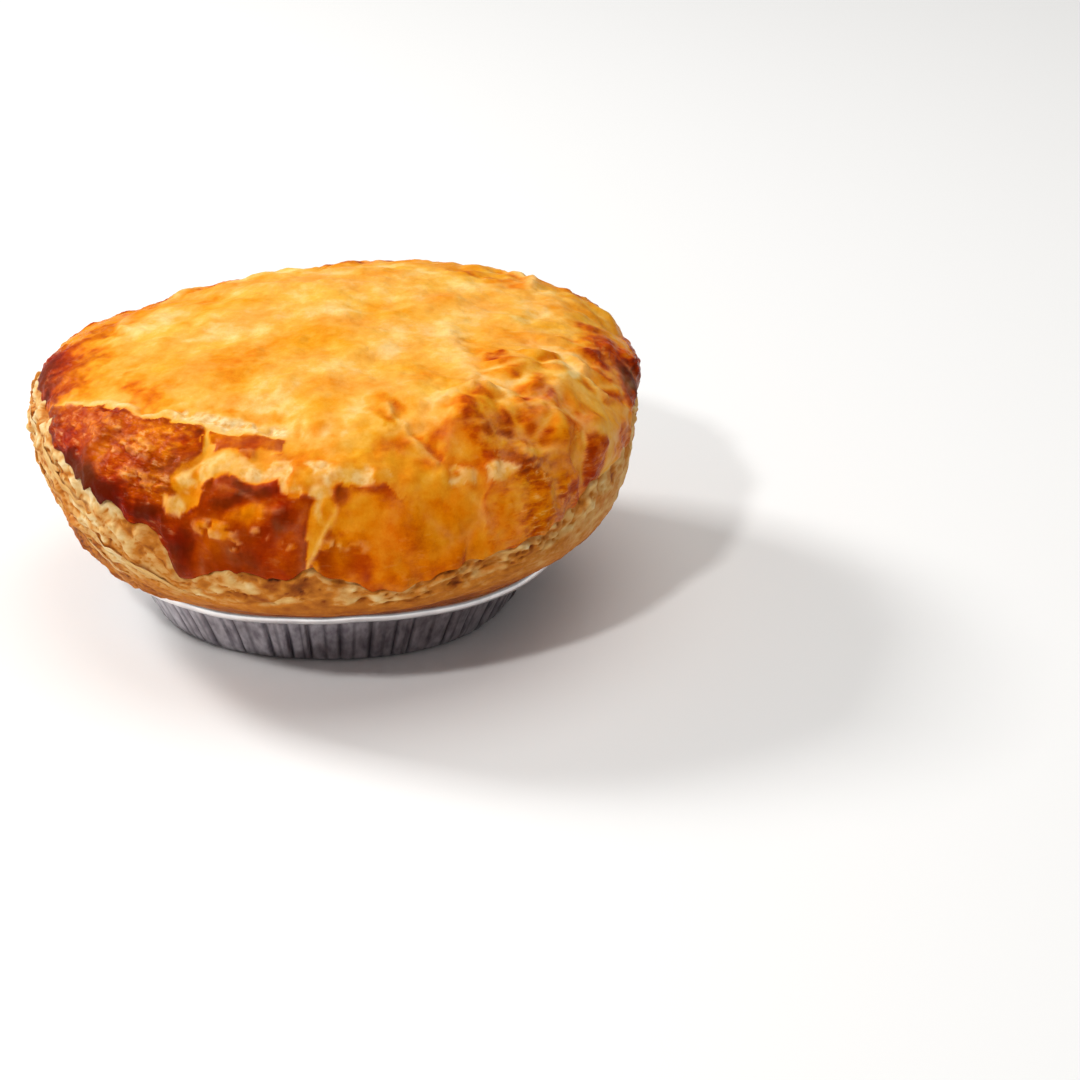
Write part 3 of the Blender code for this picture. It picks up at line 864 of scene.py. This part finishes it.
def pleat(angle):
    """How deep the wall lies in the pleats, and how near a point is to a crease, from 0 to 1.

    Each uneven pleat is a flat facet with its own depth and tilt, and a sharp V along it."""
    ring = turned(36.0, angle, 0.0)
    phase = angle / math.tau * PLEATS + 0.30 * cloud(ring, 6.0, 101)
    index = np.floor(phase)
    level = np.stack([index % PLEATS, np.zeros_like(index), np.zeros_like(index)], axis=-1)
    depth, place, back, tilt = (cell_number(level, seed) for seed in (103, 104, 106, 108))
    place = 0.25 + 0.5 * place
    crease = np.maximum(0.0, 1.0 - abs(phase - index - place) / 0.13)
    fold_line = np.maximum(0.0, 1.0 - np.minimum(phase - index, index + 1.0 - phase) / 0.10)
    facet = 0.30 * back + 0.5 * (tilt - 0.5) * (phase - index - 0.5)
    drawn = PLEAT_DEPTH * (0.35 + 0.65 * depth) * crease + facet + 0.3
    return drawn, np.maximum(crease, 0.7 * fold_line)


def pleated_foil(material):
    """The pressed tin: its inside from the centre out, over a rolled bead, and down the outside.

    The wall is drawn in by the pleats, most of all low down, and the whole is slightly out of
    round."""
    profile_points = tin_profile()
    angle = np.linspace(-math.pi, math.pi, TIN_COLUMNS, endpoint=False)
    depth, crease = pleat(angle)
    ring = turned(36.0, angle, 0.0)
    radius = profile_points[:, :1]
    z = profile_points[:, 1:]
    up_wall = 0.75 + 0.25 * np.clip((z - 0.1) / BASE_CORNER, 0.0, 1.0)
    to_mouth = np.clip(z / RIM_Z - 0.45, 0.0, 1.0)
    on_wall = smooth(BASE_RADIUS - BASE_CORNER, BASE_RADIUS, radius)
    on_wall = on_wall * (1.0 - smooth(MOUTH_RADIUS, FLANGE_RADIUS, radius))
    drawn = depth * on_wall * up_wall * (1.0 - to_mouth)
    on_flange = smooth(MOUTH_RADIUS, FLANGE_RADIUS, radius)
    drawn = drawn + round_sum(angle, DROOPS) * on_flange
    wide = (radius - drawn) * (1.0 + wave_sum(angle, TIN_WAVES))
    lift = (rim_lift(np.degrees(angle)) + 0.12 * cloud(ring, 5.0, 107)) * on_flange
    points = turned(wide, angle, z + lift)
    # painted highlight: how far the flange and bead are whitened, a little less in places
    rim = on_flange * (1.0 - 0.25 * smooth(-0.5, 0.5, cloud(ring, 2.5, 109)))
    numbers = np.arange(wide.size).reshape(wide.shape)
    ends = np.array([[0.0, 0.0, FOIL], [0.0, 0.0, 0.0]])
    points = np.vstack([points.reshape(-1, 3), ends])
    # painted shade: how dark the creases up the wall are painted
    shaded_creases = crease * on_wall * (1.0 - to_mouth)
    return dress("pleated_foil", points, closed_shell(numbers), material, "foil_tin",
                 "pressed_foil", rim=np.append(rim.ravel(), (0.0, 0.0)),
                 crease=np.append(shaded_creases.ravel(), (0.0, 0.0)))


def tin_profile():
    """Radius and height along the tin's section: inside, bead as an arc, outside."""
    foot = BASE_RADIUS + 0.1 * (MOUTH_RADIUS - BASE_RADIUS)
    turn = BASE_RADIUS - 0.3 * BASE_CORNER
    flat = BASE_RADIUS - BASE_CORNER
    inside = [
        (0.4 * flat, FOIL),
        (flat, FOIL),
        (turn - 0.7 * FOIL, 0.3 * BASE_CORNER + 0.7 * FOIL),
        (foot - FOIL, BASE_CORNER + 0.4 * FOIL),
    ]
    wall = np.linspace((foot - FOIL, BASE_CORNER + 0.4 * FOIL), (MOUTH_RADIUS - FOIL, RIM_Z), 8)
    arc = np.radians(np.linspace(100.0, -80.0, 9))
    middle = (FLANGE_RADIUS + BEAD_RADIUS, RIM_Z - BEAD_RADIUS)
    bead = np.stack([middle[0] + BEAD * np.cos(arc), middle[1] + BEAD * np.sin(arc)], -1)
    under = [(FLANGE_RADIUS, RIM_Z - FOIL)]
    outer = np.linspace((MOUTH_RADIUS, RIM_Z - FOIL), (foot, BASE_CORNER), 10)
    below = [(turn, 0.3 * BASE_CORNER), (flat, 0.0), (0.4 * flat, 0.0)]
    return np.vstack([inside, wall[1:], bead, under, outer, below])


# ---- materials

def linear(code, alpha=1.0):
    """Linear colour of an sRGB hex code: ((s + 0.055) / 1.055)^2.4, or s / 12.92 when dark."""
    shares = [int(code[start:start + 2], 16) / 255 for start in (1, 3, 5)]
    turned = [((s + 0.055) / 1.055) ** 2.4 if s > 0.04045 else s / 12.92 for s in shares]
    return (*turned, alpha)


def add(tree, kind, inputs=None, stops=(), output=0, **settings):
    """Adds a shader node and gives the output that is used, or None where it has none.

    Its inputs are numbers, colours or outputs to link, and its stops a ramp's colours."""
    node = tree.nodes.new("ShaderNode" + kind)
    for name, value in settings.items():
        setattr(node, name, value)
    ends_first = (*stops[:1], *stops[-1:], *stops[1:-1])
    for place, (position, colour) in enumerate(ends_first):
        marks = node.color_ramp.elements
        mark = marks[place] if place < 2 else marks.new(position)
        mark.position = position
        mark.color = linear(colour)
    for name, value in (inputs or {}).items():
        if isinstance(value, bpy.types.NodeSocket):
            tree.links.new(value, node.inputs[name])
        else:
            node.inputs[name].default_value = value
    return node.outputs[output] if node.outputs else None


def new_material(name):
    """An empty material, its node tree, and the coordinates of the piece that it is on."""
    material = bpy.data.materials.new(name)
    material.use_nodes = True
    tree = material.node_tree
    tree.nodes.clear()
    return material, tree, add(tree, "TexCoord", output="Object")


def egg_washed_puff_pastry():
    """Puff pastry brushed with egg and baked: pale gold to dark brown, glossy where it browned."""
    material, tree, place = new_material("egg_washed_puff_pastry")
    # browning, with painted shade beside wrinkles and painted highlights on bumps
    names = ("bake", "gloss", "pale", "ripple")
    fields = [add(tree, "Attribute", output="Fac", attribute_name=name) for name in names]
    bake, gloss, pale, ripple = fields
    # mottling of the browning, 2.5 mm wide
    mottle = add(tree, "TexNoise", {
        "Vector": place, "Scale": 400.0, "Detail": 6.0, "Roughness": 0.74})
    shifted = add(tree, "MapRange", {
        "Value": mottle, "From Min": 0.3, "From Max": 0.7, "To Min": -0.08, "To Max": 0.08})
    mottled = add(tree, "Math", {0: bake, 1: shifted}, operation="ADD")
    # ripples in the glaze, 2.4 mm long and 0.8 mm high, with painted shade in their troughs and
    # painted highlights on their crests
    flattened = add(tree, "Mapping", {"Vector": place, "Scale": (420.0, 420.0, 1250.0)})
    ripples = add(tree, "TexNoise", {
        "Vector": flattened, "Scale": 1.0, "Detail": 3.0, "Roughness": 0.55})
    # painted shade and light: browner in the ripples' troughs, paler on their crests
    shade = add(tree, "MapRange", {
        "Value": ripples, "From Min": 0.35, "From Max": 0.68, "To Min": 0.12, "To Max": -0.14})
    shaded = add(tree, "Math", {0: shade, 1: ripple}, operation="MULTIPLY")
    # browning, with the ripples' painted shade and light added
    browned = add(tree, "Math", {0: mottled, 1: shaded}, operation="ADD")
    crust_colour = add(tree, "ValToRGB", {"Fac": browned}, stops=(
        (0.0, "#F7CD80"), (0.14, "#F2AE46"), (0.28, "#EA941C"), (0.42, "#DE7402"),
        (0.56, "#BE4C00"), (0.70, "#A03000"), (0.84, "#802200"), (1.0, "#601800")))
    # peach and golden areas, 9 mm wide
    areas = add(tree, "TexNoise", {"Vector": place, "Scale": 110.0, "Detail": 2.0})
    hue = add(tree, "MapRange", {
        "Value": areas, "From Min": 0.3, "From Max": 0.7, "To Min": 0.493, "To Max": 0.509})
    tinted = add(tree, "HueSaturation", {"Hue": hue, "Color": crust_colour})
    # crumb of the torn places, 1.1 mm wide
    crumb = add(tree, "TexNoise", {"Vector": place, "Scale": 900.0, "Detail": 4.0})
    torn_colour = add(tree, "ValToRGB", {"Fac": crumb}, stops=(
        (0.35, "#E2A552"), (0.60, "#F8DAA0")))
    # painted glints: the highest crests are mixed towards the pale crumb colour
    crests = add(tree, "MapRange", {
        "Value": ripples, "From Min": 0.58, "From Max": 0.68, "To Max": 0.26})
    glints = add(tree, "Math", {0: crests, 1: ripple}, operation="MULTIPLY")
    paler = add(tree, "Math", {0: pale, 1: glints}, operation="MAXIMUM")
    colour = add(tree, "Mix", {0: paler, 6: tinted, 7: torn_colour}, output=2, data_type="RGBA")
    rough = add(tree, "MapRange", {"Value": gloss, "To Min": 0.60, "To Max": 0.18})
    grain = add(tree, "TexNoise", {
        "Vector": place, "Scale": 1500.0, "Detail": 6.0, "Roughness": 0.65})
    fine = add(tree, "Bump", {"Height": grain, "Strength": 0.35, "Distance": 0.0003})
    bump = add(tree, "Bump", {
        "Height": shaded, "Strength": 1.0, "Distance": 0.0009, "Normal": fine}, invert=True)
    shader = add(tree, "BsdfPrincipled", {
        "Base Color": colour, "Roughness": rough, "Normal": bump, "IOR": 1.30,
        "Specular IOR Level": 0.14, "Specular Tint": linear("#FFB468"),
        "Subsurface Weight": 0.06, "Subsurface Radius": (1.0, 0.5, 0.2),
        "Subsurface Scale": 0.0015})
    add(tree, "OutputMaterial", {"Surface": shader})
    return material


def laminated_pastry():
    """Cut face of puff pastry: dry, dull, cream to tan leaves with brown edges."""
    material, tree, place = new_material("laminated_pastry")
    # browning, with painted shade in the grooves between leaves
    bake = add(tree, "Attribute", output="Fac", attribute_name="bake")
    # crumb between the leaves, 2 mm long and 1 mm high
    layers = add(tree, "Mapping", {"Vector": place, "Scale": (500.0, 500.0, 1000.0)})
    mottle = add(tree, "TexNoise", {
        "Vector": layers, "Scale": 1.0, "Detail": 5.0, "Roughness": 0.6})
    shifted = add(tree, "MapRange", {
        "Value": mottle, "From Min": 0.3, "From Max": 0.7, "To Min": -0.10, "To Max": 0.10})
    browned = add(tree, "Math", {0: bake, 1: shifted}, operation="ADD")
    colour = add(tree, "ValToRGB", {"Fac": browned}, stops=(
        (0.0, "#F2D8A4"), (0.25, "#E0B068"), (0.48, "#C87820"), (0.75, "#984A0C"),
        (1.0, "#4E1E05")))
    bump = add(tree, "Bump", {"Height": mottle, "Strength": 0.5, "Distance": 0.0004})
    shader = add(tree, "BsdfPrincipled", {
        "Base Color": colour, "Roughness": 0.68, "Normal": bump, "IOR": 1.30,
        "Specular IOR Level": 0.40, "Subsurface Weight": 0.08,
        "Subsurface Radius": (1.0, 0.6, 0.3), "Subsurface Scale": 0.002})
    add(tree, "OutputMaterial", {"Surface": shader})
    return material


def pressed_aluminium_foil():
    """Foil pressed into pleats: grey mirror-like metal, fine drawn streaks up the wall, painted
    shade in creases, painted highlight on rim.
    """
    material, tree, place = new_material("pressed_aluminium_foil")
    rim = add(tree, "Attribute", output="Fac", attribute_name="rim")
    crease = add(tree, "Attribute", output="Fac", attribute_name="crease")
    # streaks 1.1 mm wide and 11 mm high
    streaks = add(tree, "Mapping", {"Vector": place, "Scale": (900.0, 900.0, 90.0)})
    drawn = add(tree, "TexNoise", {"Vector": streaks, "Scale": 1.0, "Detail": 4.0})
    wall = add(tree, "ValToRGB", {"Fac": drawn}, stops=((0.3, "#8E868E"), (0.7, "#CCC6CC")))
    # painted shade darkens the creases, and a painted highlight makes the rolled rim near white
    dark = add(tree, "Mix", {0: crease, 6: wall, 7: linear("#4A444C")}, output=2,
               data_type="RGBA")
    # painted highlight: the rim is mixed to near white
    colour = add(tree, "Mix", {0: rim, 6: dark, 7: linear("#F6F4F4")}, output=2,
                 data_type="RGBA")
    bump = add(tree, "Bump", {"Height": drawn, "Strength": 0.25, "Distance": 0.0002})
    shader = add(tree, "BsdfPrincipled", {
        "Base Color": colour, "Metallic": 1.0, "Roughness": 0.28, "Normal": bump})
    add(tree, "OutputMaterial", {"Surface": shader})
    return material


def matte_paper():
    """Matte white paper for the floor."""
    material, tree, _ = new_material("matte_paper")
    shader = add(tree, "BsdfPrincipled", {"Base Color": linear("#F6F5F3"), "Roughness": 0.9})
    add(tree, "OutputMaterial", {"Surface": shader})
    return material


# ---- the pie

def build_pie():
    crust_material = egg_washed_puff_pastry()
    side_material = laminated_pastry()
    crust_cap(crust_material)
    flaky_side(side_material)
    loose_leaves(side_material)
    pleated_foil(pressed_aluminium_foil())


# ---- floor, light and camera

def lay_floor():
    """A wide square of paper under the tin."""
    corners = [(-1.5, -1.5, 0.0), (1.5, -1.5, 0.0), (1.5, 1.5, 0.0), (-1.5, 1.5, 0.0)]
    mesh = bpy.data.meshes.new("floor")
    mesh.from_pydata(corners, [], [(0, 1, 2, 3)])
    mesh.materials.append(matte_paper())
    floor = bpy.data.objects.new("floor", mesh)
    bpy.context.scene.collection.objects.link(floor)


def aim(thing, place, target):
    """Puts a light or camera at a place, looking at a target."""
    thing.location = place
    thing.rotation_euler = (Vector(target) - Vector(place)).to_track_quat("-Z", "Y").to_euler()


def add_light(name, place, size, watts, colour):
    """A square soft light that faces the pie."""
    lamp = bpy.data.lights.new(name, "AREA")
    lamp.size = size
    lamp.energy = watts
    lamp.color = linear(colour)[:3]
    light = bpy.data.objects.new(name, lamp)
    bpy.context.scene.collection.objects.link(light)
    aim(light, place, (0.0, 0.0, 0.025))


def light_scene():
    add_light("key_softbox", (-0.50, 0.28, 0.46), 0.18, 3.65, "#FFFFFF")
    add_light("front_lamp", (-0.22, -0.45, 0.50), 0.05, 1.8, "#FFFFFF")
    add_light("top_softbox", (0.15, 0.10, 0.75), 0.70, 2.3, "#FFFFFF")
    world = bpy.data.worlds.new("white_room")
    world.use_nodes = True
    world.node_tree.nodes["Background"].inputs["Color"].default_value = (1.0, 1.0, 1.0, 1.0)
    world.node_tree.nodes["Background"].inputs["Strength"].default_value = 0.22
    bpy.context.scene.world = world
    bpy.context.scene.view_settings.view_transform = "Standard"


def place_camera():
    """Looks down 25 degrees from the front, with the pie left of the middle."""
    distance, lens, elevation = 0.600, 121.6, math.radians(25.0)
    target = Vector((0.03355, -0.00153, 0.00842))
    lens_data = bpy.data.cameras.new("camera")
    lens_data.lens = lens
    camera = bpy.data.objects.new("camera", lens_data)
    bpy.context.scene.collection.objects.link(camera)
    back = Vector((0.0, -math.cos(elevation), math.sin(elevation)))
    aim(camera, target + distance * back, target)
    bpy.context.scene.camera = camera


build_pie()
lay_floor()
light_scene()
place_camera()
